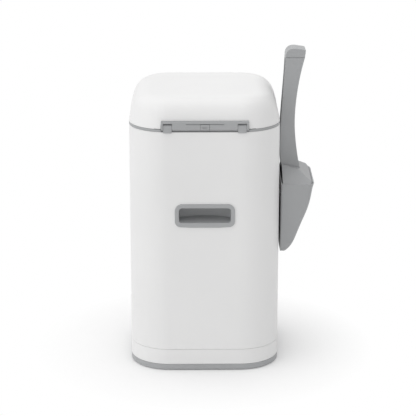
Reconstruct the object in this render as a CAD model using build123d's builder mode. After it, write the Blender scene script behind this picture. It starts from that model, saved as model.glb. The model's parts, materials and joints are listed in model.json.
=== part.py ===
from build123d import *
from math import cos, radians, sin, sqrt, tan
import os

os.makedirs("parts", exist_ok=True)

# Litter disposal pail. The origin is the centre of the base on the floor, +Z is up.
# The user stands on the -Y side, the lid hinges on the +Y side, the scoop hangs on the -X side.

# ---- pail shells
pail_width = 230.0
pail_depth = 222.0
plan_radius = 60.0
shell_wall = 2.5
seam = 0.4                  # shadow gap between stacked shells
fit = 0.3                   # clearance between nested pieces
spigot_wall = 2.2
spigot_rise = 8.0

# ---- base
ring_height = 3.0
ring_stand = 0.8            # how far the rubber ring stands below the tray
ring_inset = 20.0
ring_width = 6.0
tray_height = 10.0
tray_plate = 4.2
tray_edge = 2.0
skirt_height = 24.0
shelf_height = 20.0
shelf_wall = 3.0
shelf_reach = 16.0
base_screw_inset = 14.0
boss_radius = 5.0

# ---- casing and collar
casing_height = 346.8
collar_height = 3.7
flange_reach = 16.0
collar_drop = 23.0
ledge_drop = 10.0
ledge_wall = 3.0
ledge_reach = 11.0
head_screw_back = 4.0

# ---- lid
lid_height = 46.3
lid_lean = 6.0              # degrees
lid_round = 34.0
lid_wall = 2.5
liner_rise = 4.0
liner_wall = 2.2
liner_inset = 4.0
seal_inset = 10.5
seal_width = 2.5
lid_screw_inset = 30.0
lid_tab_half = 22.0
lid_tab_out = 5.0
lid_tab_high = 3.0
bar_plate_half = 51.0
bar_plate_rise = 3.0
bar_plate_wall = 3.0
relief_side = 10.0          # relief in the lid's rim beside the hinge, so it clears the collar
relief_deep = 4.0
relief_high = 0.5
liner_notch = 2.0

# ---- lid hinge
axis_back = 3.0             # from the rear face to the hinge line
axis_rise = 3.0             # from the collar's top to the hinge line
barrel_radius = 5.5
bar_half = 65.8
bar_rise = 9.6              # from the hinge line to the bar's top
bar_thick = 6.5
bar_cap = 0.5               # wall left at the bar's ends, which keeps the pins in
knuckle_near = 49.5
knuckle_far = 62.2
knuckle_gap = 0.4
strip_clear = 1.0
pin_radius = 1.5
pin_clear = 0.05
pin_grip = 0.01             # clearance of a pin in the piece that holds it
pin_run = 8.0               # how far a hinge pin runs into the bar
pin_end_gap = 0.8
socket_gap = 0.6            # between the barrel and the collar around it
knuckle_drop = 1.2
tab_half = 6.7
tab_low = 5.0               # below the hinge line
tab_high = 4.9              # above the hinge line
tab_depth = 3.8
tab_travel = 1.2
tab_clear = 0.4
tab_recess_share = 0.5
tab_recess_low = 1.6
tab_recess_high = 2.2
slot_half = 28.5
slot_depth = 1.4
slot_height = 1.2

# ---- head, cassette and film
deck_wall = 3.0
well_radius = 94.5
well_wall = 2.0
well_depth = 52.0
throat_radius = 50.0
throat_wall = 2.0
throat_drop = 17.5
cassette_outer = 93.0
cassette_inner = 56.0
cassette_wall = 1.6
cassette_height = 44.0
cover_wall = 1.6
film_gap = 1.5              # gap at the cover through which the film leaves
film_wall = 0.4
film_space = 4.0

# ---- clamp
clamp_wall = 3.0
clamp_half = 78.0
clamp_front = -92.0
clamp_back = 74.0
rail_wall = 3.0
jaw_line = 24.0             # where the jaws meet
jaw_half = 52.0
jaw_thick = 10.0
jaw_high = 12.0
lip_thick = 2.5
lip_high = 6.0
jaw_shelf = 4.0             # height of the shelf that carries the fixed jaw
jaw_foot = 3.0
jaw_stand = 3.0             # from the throat's edge to the fixed jaw's foot
jaw_spread = 5.0
jaw_drop = 1.0              # running gap under the clamp plate
clamp_travel = 60.0
arm_near = 54.0
arm_far = 60.0
arm_high = 8.0
arm_clear = 0.6
handle_reach = 26.0         # from the casing to the grip's front
handle_thick = 7.0
handle_high = 16.0
handle_round = 3.0
bezel_wall = 1.6
bezel_half = 72.0
bezel_high = 26.0
spring_radius = 3.6
spring_wire = 0.9
spring_side = 67.4
screw_radius = 1.6
head_radius = 3.2
head_high = 2.2
screw_clear = 0.05

clamp_screw_x = 74.6
clamp_screw_front = -45.0
clamp_screw_back = 40.0
jaw_pin_grip = 6.0

# ---- film cutter
cutter_reach = 108.0        # from the pail's axis to the cutter, along the corner's diagonal
cutter_long = 26.0
cutter_wide = 12.0
cutter_high = 6.0
cutter_slot = 1.6
cutter_floor = 1.5
blade_long = 18.0
blade_wall = 0.5
blade_high = 3.6

# ---- door
door_low = 48.0
door_high = 262.0
door_half = 77.0
door_gap = 1.0
door_swing_gap = 4.0
door_axis_x = 74.0
door_axis_y = 9.0           # behind the front face
door_tube = 2.9
door_pin = 1.5
door_pin_reach = 7.0
door_tube_out = 0.6         # how far the tube stands past the panel's ends
lug_gap = 0.6               # between the tube and the lugs
lug_wall = 4.4
pin_recess = 0.4
hinge_web = 2.4
pan_inset = 7.0
pan_depth = 8.0
pan_wall = 2.0
frame_wall = 2.5
frame_border = 8.0
lip_border = 5.0
lug_radius = 4.5
notch_radius = 11.0
baffle_inset = 10.0         # strip that closes the view behind the door's swing gap
magnet_size = 8.0
magnet_thick = 2.2
magnet_x = -68.0
magnet_high = 230.0
strike_thick = 1.0
bracket_wall = 2.0

# ---- rear grip
grip_high = 252.0
grip_width = 91.0
grip_tall = 35.5
grip_rim = 6.0
grip_corner = 11.0
grip_depth = 27.0
grip_slope = 8.0            # degrees
grip_wall = 2.0
grip_proud = 1.0
grip_plate = 1.0
grip_side_share = 0.72      # depth of the recess at its sides
grip_sag = 1.4              # how far the rim's lower edge bows down
grip_bow = 30.0

# ---- scoop holder
holder_gap = 2.6
holder_rim = 285.5
holder_tall = 110.5
holder_depth = 54.0         # from the pail's side to the outer rim
holder_taper = 38.0
holder_tip = 6.0            # rounding of the pocket's toe
holder_tip_power = 24
holder_power = 1.35
holder_half = 60.0
holder_narrow = 10.0
holder_wall = 2.2
holder_corner_rear = 9.0
holder_corner_front = 26.0
holder_back_corner = 4.0
hook_half = 5.0
hook_side = 34.0
hook_neck = 6.0
hook_lip = 8.0
hook_thick = 2.4
hook_rise = 23.0            # from the neck to the rim
spacer_high = 6.0
spacer_rise = 16.0

# ---- scoop
scoop_gap = 0.8
scoop_wall = 2.0
hood_wall = 2.3
scoop_sink = 2.5            # from the rim down to the top of the basket
slot_count = 9
slot_pitch = 10.0
slot_width = 4.4
slot_low = 18.0
slot_high = 88.0
hood_back = 306.0
hood_step = 299.0            # height of the heel beside the handle's outer edge
hood_front = 287.0
hood_step_out = 34.0         # from the pail's side
hood_eave = 1.5
hood_ridge = 15.0
grip_half = 15.0
grip_shell = 2.5
handle_foot = 290.0
handle_top = 474.0
foot_out = 35.4             # outer edge of the handle, from the pail's side
waist_out = 24.9
head_out = 39.0
waist_share = 0.435         # of the handle's height
foot_flare = 1.6
head_flare = 2.05
foot_back = 6.0             # back edge of the handle
grip_back = 3.2
head_back = 9.4
heel_share = 0.16
cap_gap = 0.4
cap_top = 488.5
cap_slope = 2.5
cap_round = 12.0
cap_lean = 0.6
cap_nose = 1.5              # how far the cap's front stands past the handle
cap_crown_out = 25.0
cap_crown = 8.0
cap_edge = 0.5

# ---- heights and places that follow
half_width = pail_width / 2
half_depth = pail_depth / 2
skirt_low = tray_height + seam
skirt_top = skirt_low + skirt_height
casing_low = skirt_top + seam
casing_top = casing_low + casing_height
collar_low = casing_top + seam
collar_top = collar_low + collar_height
lid_low = collar_top + seam
lid_top = lid_low + lid_height
spigot_inset = shell_wall + fit
skirt_shelf = skirt_low + shelf_height
ledge_high = collar_low - ledge_drop
deck_top = ledge_high + deck_wall
well_low = ledge_high - well_depth
throat_low = well_low - throat_drop
hinge_y = half_depth - axis_back
hinge_z = collar_top + axis_rise
cassette_low = well_low + well_wall
arm_top = throat_low - clamp_wall - jaw_drop
arm_low = arm_top - arm_high
arm_mid = (arm_top + arm_low) / 2
door_y = door_axis_y - half_depth


def plan(inset, mode=Mode.ADD):
    RectangleRounded(
        pail_width - 2 * inset,
        pail_depth - 2 * inset,
        plan_radius - inset,
        mode=mode,
    )


def slab(low, high, inset, mode=Mode.ADD):
    with BuildSketch(Plane.XY.offset(low)) as face:
        plan(inset)
    extrude(face.sketch, amount=high - low, mode=mode)


def hoop(low, high, inset, thick, mode=Mode.ADD):
    with BuildSketch(Plane.XY.offset(low)) as face:
        plan(inset)
        plan(inset + thick, mode=Mode.SUBTRACT)
    extrude(face.sketch, amount=high - low, mode=mode)


def block(x, y, z, mode=Mode.ADD):
    with BuildSketch(Plane.XY.offset(z[0])) as face:
        with Locations(((x[0] + x[1]) / 2, (y[0] + y[1]) / 2)):
            Rectangle(x[1] - x[0], y[1] - y[0])
    extrude(face.sketch, amount=z[1] - z[0], mode=mode)


def post(points, low, high, radius, mode=Mode.ADD):
    with BuildSketch(Plane.XY.offset(low)) as face:
        with Locations(*points):
            Circle(radius)
    extrude(face.sketch, amount=high - low, mode=mode)


def bar_along_x(x, y, z, radius, mode=Mode.ADD):
    with BuildSketch(Plane.YZ.offset(x[0])) as face:
        with Locations((y, z)):
            Circle(radius)
    extrude(face.sketch, amount=x[1] - x[0], mode=mode)


def pail_corners(inset):
    reach = (plan_radius - inset) * cos(radians(45))
    x = half_width - plan_radius + reach
    y = half_depth - plan_radius + reach
    return [(-x, -y), (x, -y), (-x, y), (x, y)]


def front_skin(x, inset):
    """Y of the front wall at x, at a given inset from the outer face."""
    radius = plan_radius - inset
    past = max(0.0, abs(x) - (half_width - plan_radius))
    return -(half_depth - plan_radius + sqrt(radius**2 - past**2))


# ================================================================ base

with BuildPart() as grip_ring:
    hoop(0, ring_height, ring_inset, ring_width)
grip_ring.part.label = "grip_ring"
export_step(grip_ring.part, "parts/grip_ring.step")

base_corners = pail_corners(base_screw_inset)
tray_top_face = ring_stand + tray_plate
head_seat = ring_stand + head_high + fit

with BuildPart() as base_tray:
    slab(ring_stand, tray_top_face, 0)
    hoop(ring_stand, tray_height, 0, spigot_inset + spigot_wall)
    hoop(tray_height, skirt_low + spigot_rise, spigot_inset, spigot_wall)
    edges_low = base_tray.faces().sort_by(Axis.Z)[0].outer_wire().edges()
    fillet(edges_low, tray_edge)
    hoop(ring_stand, ring_height, ring_inset - fit / 2, ring_width + fit, mode=Mode.SUBTRACT)
    post(base_corners, ring_stand, head_seat, head_radius + fit, mode=Mode.SUBTRACT)
    post(base_corners, ring_stand, tray_top_face, screw_radius + fit, mode=Mode.SUBTRACT)
base_tray.part.label = "base_tray"
export_step(base_tray.part, "parts/base_tray.step")

with BuildPart() as base_skirt:
    hoop(skirt_low, skirt_top, 0, shell_wall)
    hoop(skirt_shelf - shelf_wall, skirt_shelf, shell_wall, shelf_reach)
    hoop(skirt_shelf, casing_low + spigot_rise, spigot_inset, spigot_wall)
    hoop(skirt_shelf, skirt_top, shell_wall, fit)
    post(base_corners, tray_top_face, skirt_shelf, boss_radius)
    post(base_corners, tray_top_face, skirt_shelf - shelf_wall, screw_radius + screw_clear, mode=Mode.SUBTRACT)
base_skirt.part.label = "base_skirt"
export_step(base_skirt.part, "parts/base_skirt.step")

with BuildPart() as base_screws:
    post(base_corners, head_seat - head_high, head_seat, head_radius)
    post(base_corners, head_seat, skirt_shelf - shelf_wall - fit, screw_radius)
base_screws.part.label = "base_screws"
export_step(base_screws.part, "parts/base_screws.step")

# ================================================================ casing

grip_mouth_width = grip_width - 2 * grip_rim
grip_mouth_tall = grip_tall - 2 * grip_rim
cup_width = grip_mouth_width + 2 * grip_wall
cup_tall = grip_mouth_tall + 2 * grip_wall
rear_plane = Plane((0, half_depth, grip_high), x_dir=(-1, 0, 0), z_dir=(0, 1, 0))
front_plane = Plane((0, -half_depth, 0), x_dir=(1, 0, 0), z_dir=(0, -1, 0))
hook_low = holder_rim - hook_rise
hook_slot_high = hook_low + hook_neck + hook_lip + seam
hook_sides = (-hook_side, hook_side)

with BuildPart() as outer_casing:
    hoop(casing_low, casing_top, 0, shell_wall)
    with BuildSketch(rear_plane):
        RectangleRounded(cup_width + 2 * fit, cup_tall + 2 * fit, grip_corner - grip_rim + grip_wall)
    extrude(amount=-2 * shell_wall, mode=Mode.SUBTRACT)
    door_right = door_half + door_swing_gap
    block((-door_half - door_gap, door_right), (-half_depth - 1, -half_depth / 2), (door_low, door_high), mode=Mode.SUBTRACT)
    with BuildSketch(front_plane):
        with Locations((-door_half - door_gap, (door_low + door_high) / 2)):
            Circle(notch_radius)
    extrude(amount=-half_depth / 2, mode=Mode.SUBTRACT)
    for side in (-1, 1):
        arm_x = sorted((side * (arm_near - arm_clear), side * (arm_far + arm_clear)))
        block(arm_x, (-half_depth - 1, -half_depth / 2), (arm_low - arm_clear, arm_top + arm_clear), mode=Mode.SUBTRACT)
    for y in hook_sides:
        block((-half_width - 1, -half_width + 2 * shell_wall), (y - hook_half - fit, y + hook_half + fit), (hook_low, hook_slot_high), mode=Mode.SUBTRACT)
outer_casing.part.label = "outer_casing"
export_step(outer_casing.part, "parts/outer_casing.step")

# ================================================================ rear grip cup


def cup_core(grow, depth):
    """The space of the hand recess, grown by a wall; its plan is a shallow D and its floor climbs."""
    low = grip_high - grip_mouth_tall / 2 - grow
    high = grip_high + grip_mouth_tall / 2 + grow
    half = grip_mouth_width / 2 + grow
    side_y = half_depth - grip_side_share * depth
    with BuildPart() as core:
        with BuildSketch(Plane.XY.offset(low)) as d_plan:
            with BuildLine():
                Line((-half, half_depth), (-half, side_y))
                ThreePointArc(
                    (-half, side_y),
                    (0, half_depth - depth),
                    (half, side_y),
                )
                Line((half, side_y), (half, half_depth))
                Line((half, half_depth), (-half, half_depth))
            make_face()
        extrude(d_plan.sketch, amount=high - low)
        with BuildSketch(rear_plane) as mouth:
            RectangleRounded(2 * half, high - low, grip_corner - grip_rim + grow)
        extrude(mouth.sketch, amount=-2 * depth, mode=Mode.INTERSECT)
        climb = 2 * depth * tan(radians(grip_slope))
        with BuildSketch(Plane.YZ.offset(-2 * half)) as ramp:
            with BuildLine():
                Polyline(
                    (half_depth + 1, low - 1),
                    (half_depth + 1, high + 1),
                    (half_depth - 2 * depth, high + 1),
                    (half_depth - 2 * depth, low + climb),
                    (half_depth, low),
                    (half_depth + 1, low - 1),
                )
            make_face()
        extrude(ramp.sketch, amount=4 * half, mode=Mode.INTERSECT)
    return core.part


half_w = grip_width / 2
half_t = grip_tall / 2
low_corner = 0.8 * grip_corner
with BuildPart() as rear_grip_cup:
    with BuildSketch(rear_plane):
        with BuildLine():
            FilletPolyline(
                (-half_w, half_t),
                (half_w, half_t),
                (half_w, -half_t),
                (half_w / 2, -half_t - grip_sag),
                (-half_w / 2, -half_t - grip_sag),
                (-half_w, -half_t),
                radius=[grip_corner, grip_corner, low_corner, grip_bow, grip_bow, low_corner],
                close=True,
            )
        make_face()
    extrude(amount=grip_plate + grip_proud)
    rim_edges = rear_grip_cup.faces().sort_by(Axis.Y)[-1].edges()
    fillet(rim_edges, grip_plate * 0.8)
    add(cup_core(grip_wall, grip_depth + grip_wall))
    add(cup_core(0, grip_depth), mode=Mode.SUBTRACT)
    with BuildSketch(rear_plane.offset(-1)):
        RectangleRounded(grip_mouth_width, grip_mouth_tall, grip_corner - grip_rim)
    extrude(amount=grip_plate + grip_proud + 2, mode=Mode.SUBTRACT)
rear_grip_cup.part.label = "rear_grip_cup"
export_step(rear_grip_cup.part, "parts/rear_grip_cup.step")

# ================================================================ collar with the hinge knuckles

flange_cut = barrel_radius + socket_gap
knuckle_sides = ((-knuckle_far, -knuckle_near), (knuckle_near, knuckle_far))
collar_floor = hinge_z - barrel_radius - seam
head_corners = pail_corners(shell_wall + ledge_reach - head_screw_back)

with BuildPart() as top_collar:
    hoop(collar_low, collar_top, 0, flange_reach)
    hoop(collar_low - collar_drop, collar_low, spigot_inset, spigot_wall)
    hoop(ledge_high - ledge_wall, ledge_high, spigot_inset + spigot_wall, ledge_reach - spigot_inset - spigot_wall)
    block(
        (-bar_half - knuckle_gap, bar_half + knuckle_gap),
        (hinge_y - flange_cut, half_depth + 1),
        (collar_floor, collar_top + 1),
        mode=Mode.SUBTRACT,
    )
    for x in knuckle_sides:
        bar_along_x(x, hinge_y, hinge_z, barrel_radius)
        block(x, (hinge_y - barrel_radius + 1, hinge_y + barrel_radius), (collar_low, hinge_z))
        block(x, (half_depth + fit, hinge_y + barrel_radius), (collar_low - knuckle_drop, hinge_z))
        bar_along_x(x, hinge_y, hinge_z, pin_radius + pin_grip, mode=Mode.SUBTRACT)
top_collar.part.label = "top_collar"
export_step(top_collar.part, "parts/top_collar.step")

with BuildPart() as hinge_pins:
    for side in (-1, 1):
        pin_x = sorted((side * (knuckle_near - pin_run), side * (bar_half - pin_end_gap)))
        bar_along_x(pin_x, hinge_y, hinge_z, pin_radius)
hinge_pins.part.label = "hinge_pins"
export_step(hinge_pins.part, "parts/hinge_pins.step")

# ================================================================ lid

notch_half = bar_half + knuckle_gap
bar_top = hinge_z + bar_rise
bar_front = hinge_y + barrel_radius - bar_thick
lid_corners = pail_corners(lid_screw_inset)
liner_low = lid_low + liner_rise

with BuildPart() as lid_cavity:
    with BuildSketch(Plane.XY.offset(lid_low)):
        plan(lid_wall)
    extrude(amount=lid_height - lid_wall, taper=lid_lean)
    fillet(lid_cavity.faces().sort_by(Axis.Z)[-1].edges(), lid_round - lid_wall)

with BuildPart() as lid_shell:
    with BuildSketch(Plane.XY.offset(lid_low)):
        plan(0)
    extrude(amount=lid_height, taper=lid_lean)
    fillet(lid_shell.faces().sort_by(Axis.Z)[-1].edges(), lid_round)
    add(lid_cavity.part, mode=Mode.SUBTRACT)
    post(lid_corners, liner_low + liner_wall, lid_top - lid_wall, boss_radius)
    post(lid_corners, liner_low, lid_top - 3 * lid_wall, screw_radius + screw_clear, mode=Mode.SUBTRACT)
    block(
        (-notch_half, notch_half),
        (half_depth - 2 * flange_reach, half_depth + 1),
        (lid_low - 1, bar_top + knuckle_gap),
        mode=Mode.SUBTRACT,
    )
    block(
        (-notch_half - relief_side, notch_half + relief_side),
        (hinge_y - relief_deep, half_depth + 1),
        (lid_low - 1, lid_low + relief_high),
        mode=Mode.SUBTRACT,
    )
    block(
        (-lid_tab_half - fit, lid_tab_half + fit),
        (-half_depth - 1, -half_depth + liner_inset),
        (lid_low - 1, lid_low + seam + lid_tab_high + fit),
        mode=Mode.SUBTRACT,
    )
lid_shell.part.label = "lid_shell"
export_step(lid_shell.part, "parts/lid_shell.step")

liner_cut = hinge_y - flange_cut
with BuildPart() as lid_liner:
    slab(liner_low, liner_low + liner_wall, liner_inset)
    hoop(lid_low + seam, liner_low, liner_inset, liner_wall)
    post(lid_corners, liner_low, liner_low + liner_wall, screw_radius + fit, mode=Mode.SUBTRACT)
    liner_notch_x = (-notch_half - liner_notch, notch_half + liner_notch)
    block(liner_notch_x, (liner_cut, half_depth + 1), (lid_low - 1, liner_low + 2 * liner_rise), mode=Mode.SUBTRACT)
lid_liner.part.label = "lid_liner"
export_step(lid_liner.part, "parts/lid_liner.step")

with BuildPart() as lid_seal:
    hoop(collar_top + fit, liner_low, seal_inset, seal_width)
lid_seal.part.label = "lid_seal"
export_step(lid_seal.part, "parts/lid_seal.step")

with BuildPart() as lid_tab:
    tab_z = lid_low + seam
    block((-lid_tab_half, lid_tab_half), (-half_depth - lid_tab_out, -half_depth + liner_inset), (tab_z, tab_z + lid_tab_high))
    fillet(lid_tab.edges().filter_by(Axis.Z).group_by(Axis.Y)[0], lid_tab_out * 0.8)
lid_tab.part.label = "lid_tab"
export_step(lid_tab.part, "parts/lid_tab.step")

with BuildPart() as lid_screws:
    post(lid_corners, liner_low - head_high, liner_low, head_radius)
    post(lid_corners, liner_low, lid_top - 4 * lid_wall, screw_radius)
lid_screws.part.label = "lid_screws"
export_step(lid_screws.part, "parts/lid_screws.step")

plate_top = bar_top + bar_plate_rise
lean_back = (plate_top - lid_low) * tan(radians(lid_lean))
plate_y = half_depth - lid_wall / cos(radians(lid_lean)) - lean_back - fit
with BuildPart() as hinge_bar:
    bar_along_x((-bar_half, bar_half), hinge_y, hinge_z, barrel_radius)
    block((-bar_half, bar_half), (bar_front, hinge_y + barrel_radius), (hinge_z, bar_top))
    plate_x = (-bar_plate_half, bar_plate_half)
    plate_low = bar_top - bar_plate_wall
    block(plate_x, (plate_y - bar_plate_wall, bar_front + 1), (plate_low, bar_top))
    block(plate_x, (plate_y - bar_plate_wall, plate_y), (plate_low, plate_top))
    for x in knuckle_sides:
        block(
            (x[0] - knuckle_gap, x[1] + knuckle_gap),
            (hinge_y - 2 * barrel_radius, half_depth + 2 * barrel_radius),
            (hinge_z - 2 * barrel_radius, hinge_z + barrel_radius + strip_clear),
            mode=Mode.SUBTRACT,
        )
    bar_along_x((-bar_half + bar_cap, bar_half - bar_cap), hinge_y, hinge_z, pin_radius + pin_clear, mode=Mode.SUBTRACT)
    block(
        (-tab_half - tab_clear, tab_half + tab_clear),
        (hinge_y + barrel_radius - tab_depth - tab_travel - fit, half_depth + 2 * barrel_radius),
        (hinge_z - 2 * barrel_radius, hinge_z + tab_high + tab_clear),
        mode=Mode.SUBTRACT,
    )
    block(
        (-slot_half, slot_half),
        (hinge_y + barrel_radius - slot_depth, half_depth + 2 * barrel_radius),
        (hinge_z + tab_high, hinge_z + tab_high + slot_height),
        mode=Mode.SUBTRACT,
    )
hinge_bar.part.label = "hinge_bar"
export_step(hinge_bar.part, "parts/hinge_bar.step")

tab_back = hinge_y + barrel_radius - tab_depth
with BuildPart() as release_tab:
    tab_y = (tab_back, hinge_y + barrel_radius)
    tab_x = (-tab_half, tab_half)
    bar_along_x(tab_x, hinge_y, hinge_z, barrel_radius)
    block(tab_x, tab_y, (hinge_z, hinge_z + tab_high))
    block(tab_x, tab_y, (hinge_z - tab_low, hinge_z + tab_high), mode=Mode.INTERSECT)
    block(
        (-tab_half * tab_recess_share, tab_half * tab_recess_share),
        (hinge_y + barrel_radius - slot_depth, half_depth + 2 * barrel_radius),
        (hinge_z - tab_recess_low, hinge_z + tab_recess_high),
        mode=Mode.SUBTRACT,
    )
release_tab.part.label = "release_tab"
export_step(release_tab.part, "parts/release_tab.step")

# ================================================================ head, cassette and film

clamp_points = [(x * clamp_screw_x, y) for x in (-1, 1) for y in (clamp_screw_front, clamp_screw_back)]

with BuildPart() as head_frame:
    slab(ledge_high, deck_top, spigot_inset + spigot_wall + fit)
    post([(0, 0)], well_low, ledge_high, well_radius + well_wall)
    post([(0, 0)], throat_low, well_low, throat_radius + throat_wall)
    post([(0, 0)], cassette_low, deck_top, well_radius, mode=Mode.SUBTRACT)
    post([(0, 0)], throat_low, cassette_low, throat_radius, mode=Mode.SUBTRACT)
    post(clamp_points, throat_low, well_low, boss_radius)
    post(clamp_points, throat_low, well_low - fit, screw_radius + screw_clear, mode=Mode.SUBTRACT)
    post(head_corners, ledge_high, deck_top, screw_radius + fit, mode=Mode.SUBTRACT)
head_frame.part.label = "head_frame"
export_step(head_frame.part, "parts/head_frame.step")

with BuildPart() as cassette_body:
    post([(0, 0)], cassette_low, cassette_low + cassette_height, cassette_outer)
    post([(0, 0)], cassette_low + cassette_wall, cassette_low + cassette_height, cassette_outer - cassette_wall, mode=Mode.SUBTRACT)
    post([(0, 0)], cassette_low, cassette_low + cassette_height - film_gap, cassette_inner + cassette_wall)
    post([(0, 0)], cassette_low, cassette_low + cassette_height, cassette_inner, mode=Mode.SUBTRACT)
cassette_body.part.label = "cassette_body"
export_step(cassette_body.part, "parts/cassette_body.step")

film_top = cassette_low + cassette_height - film_space
with BuildPart() as film_pack:
    post([(0, 0)], cassette_low + cassette_wall, film_top, cassette_outer - cassette_wall - fit)
    post([(0, 0)], cassette_low + cassette_wall, film_top, cassette_inner + cassette_wall + fit, mode=Mode.SUBTRACT)
film_pack.part.label = "film_pack"
export_step(film_pack.part, "parts/film_pack.step")

cover_low = cassette_low + cassette_height
with BuildPart() as cassette_cover:
    post([(0, 0)], cover_low, cover_low + cover_wall, cassette_outer)
    post([(0, 0)], cover_low, cover_low + cover_wall, cassette_inner + cassette_wall, mode=Mode.SUBTRACT)
cassette_cover.part.label = "cassette_cover"
export_step(cassette_cover.part, "parts/cassette_cover.step")

with BuildPart() as film_sleeve:
    post([(0, 0)], cassette_low, cover_low - fit, cassette_inner - fit)
    post([(0, 0)], throat_low, cassette_low, throat_radius - fit)
    post([(0, 0)], cassette_low + film_wall, cover_low, cassette_inner - fit - film_wall, mode=Mode.SUBTRACT)
    post([(0, 0)], throat_low, cover_low, throat_radius - fit - film_wall, mode=Mode.SUBTRACT)
film_sleeve.part.label = "film_sleeve"
export_step(film_sleeve.part, "parts/film_sleeve.step")

with BuildPart() as head_screws:
    post(head_corners, deck_top, deck_top + head_high, head_radius)
    post(head_corners, ledge_high, deck_top, screw_radius)
head_screws.part.label = "head_screws"
export_step(head_screws.part, "parts/head_screws.step")

# ================================================================ clamp

clamp_low = throat_low - clamp_wall
rail_in = arm_far + arm_clear
jaw_top = clamp_low - jaw_drop
jaw_low = jaw_top - jaw_high
rail_low = jaw_low - fit
spring_z = arm_mid
spring_back = clamp_back - 2 * rail_wall
lug_back = jaw_line - 1.0
lug_front = lug_back - jaw_thick
spring_front = lug_back + fit

with BuildPart() as clamp_frame:
    block((-clamp_half, clamp_half), (clamp_front, clamp_back), (clamp_low, throat_low))
    for side in (-1, 1):
        rail_x = sorted((side * rail_in, side * (rail_in + rail_wall)))
        block(rail_x, (clamp_front, spring_back), (rail_low, clamp_low))
        anchor_x = sorted((side * (rail_in + rail_wall), side * (spring_side + spring_radius + 1)))
        block(anchor_x, (spring_back, spring_back + rail_wall), (rail_low, clamp_low))
        slot_x = sorted((side * (rail_in - 1), side * (rail_in + rail_wall + 1)))
        block(
            slot_x,
            (lug_front - clamp_travel - arm_clear, jaw_line + arm_clear),
            (arm_low - fit, arm_top + fit),
            mode=Mode.SUBTRACT,
        )
    post([(0, 0)], clamp_low, throat_low, throat_radius, mode=Mode.SUBTRACT)
    post(clamp_points, clamp_low, throat_low, screw_radius + fit, mode=Mode.SUBTRACT)
    for side in (-1, 1):
        link_x = sorted((side * rail_in, side * (rail_in + rail_wall)))
        block(link_x, (spring_back, spring_back + rail_wall), (rail_low, clamp_low))
clamp_frame.part.label = "clamp_frame"
export_step(clamp_frame.part, "parts/clamp_frame.step")

with BuildPart() as clamp_screws:
    post(clamp_points, clamp_low - head_high, clamp_low, head_radius)
    post(clamp_points, clamp_low, well_low - boss_radius, screw_radius)
clamp_screws.part.label = "clamp_screws"
export_step(clamp_screws.part, "parts/clamp_screws.step")

foot_y = (throat_radius + jaw_stand, throat_radius + jaw_stand + jaw_foot)
with BuildPart() as fixed_jaw:
    block((-jaw_half, jaw_half), (jaw_line + lip_thick, jaw_line + jaw_thick), (jaw_low, jaw_top))
    block((-jaw_half, jaw_half), (jaw_line + jaw_thick, foot_y[1]), (jaw_top - jaw_shelf, jaw_top))
    block((-jaw_half, jaw_half), foot_y, (jaw_top - jaw_shelf, clamp_low))
    block((-jaw_half - jaw_spread, jaw_half + jaw_spread), foot_y, (jaw_low, jaw_top - jaw_shelf))
fixed_jaw.part.label = "fixed_jaw"
export_step(fixed_jaw.part, "parts/fixed_jaw.step")

lip_mid = (jaw_low + jaw_top) / 2
with BuildPart() as fixed_jaw_lip:
    block((-jaw_half, jaw_half), (jaw_line + fit / 2, jaw_line + lip_thick), (lip_mid - lip_high / 2, lip_mid + lip_high / 2))
fixed_jaw_lip.part.label = "fixed_jaw_lip"
export_step(fixed_jaw_lip.part, "parts/fixed_jaw_lip.step")

pin_y = jaw_line - (jaw_thick + lip_thick) / 2
pin_spans = [sorted((side * (arm_near - jaw_pin_grip), side * arm_far)) for side in (-1, 1)]
with BuildPart() as sliding_jaw:
    block((-arm_near, arm_near), (jaw_line - jaw_thick, jaw_line - lip_thick), (jaw_low, jaw_top))
    for pin_x in pin_spans:
        bar_along_x(pin_x, pin_y, arm_mid, screw_radius + screw_clear, mode=Mode.SUBTRACT)
sliding_jaw.part.label = "sliding_jaw"
export_step(sliding_jaw.part, "parts/sliding_jaw.step")

with BuildPart() as sliding_jaw_lip:
    block((-jaw_half, jaw_half), (jaw_line - lip_thick, jaw_line - fit / 2), (lip_mid - lip_high / 2, lip_mid + lip_high / 2))
sliding_jaw_lip.part.label = "sliding_jaw_lip"
export_step(sliding_jaw_lip.part, "parts/sliding_jaw_lip.step")

grip_front = -half_depth - handle_reach
with BuildPart() as pull_handle:
    block((-arm_far, arm_far), (grip_front, grip_front + handle_thick), (arm_mid - handle_high / 2, arm_mid + handle_high / 2))
    fillet(pull_handle.edges().filter_by(Axis.X), handle_round)
    for side in (-1, 1):
        arm_x = sorted((side * arm_near, side * arm_far))
        block(arm_x, (grip_front + handle_thick / 2, jaw_line), (arm_low, arm_top))
        lug_x = sorted((side * arm_far, side * (spring_side + spring_radius)))
        block(lug_x, (lug_front, lug_back), (arm_low, arm_top))
    for pin_x in pin_spans:
        bar_along_x(pin_x, pin_y, arm_mid, screw_radius + screw_clear, mode=Mode.SUBTRACT)
pull_handle.part.label = "pull_handle"
export_step(pull_handle.part, "parts/pull_handle.step")

with BuildPart() as jaw_pins:
    for pin_x in pin_spans:
        bar_along_x(pin_x, pin_y, arm_mid, screw_radius)
jaw_pins.part.label = "jaw_pins"
export_step(jaw_pins.part, "parts/jaw_pins.step")

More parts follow.
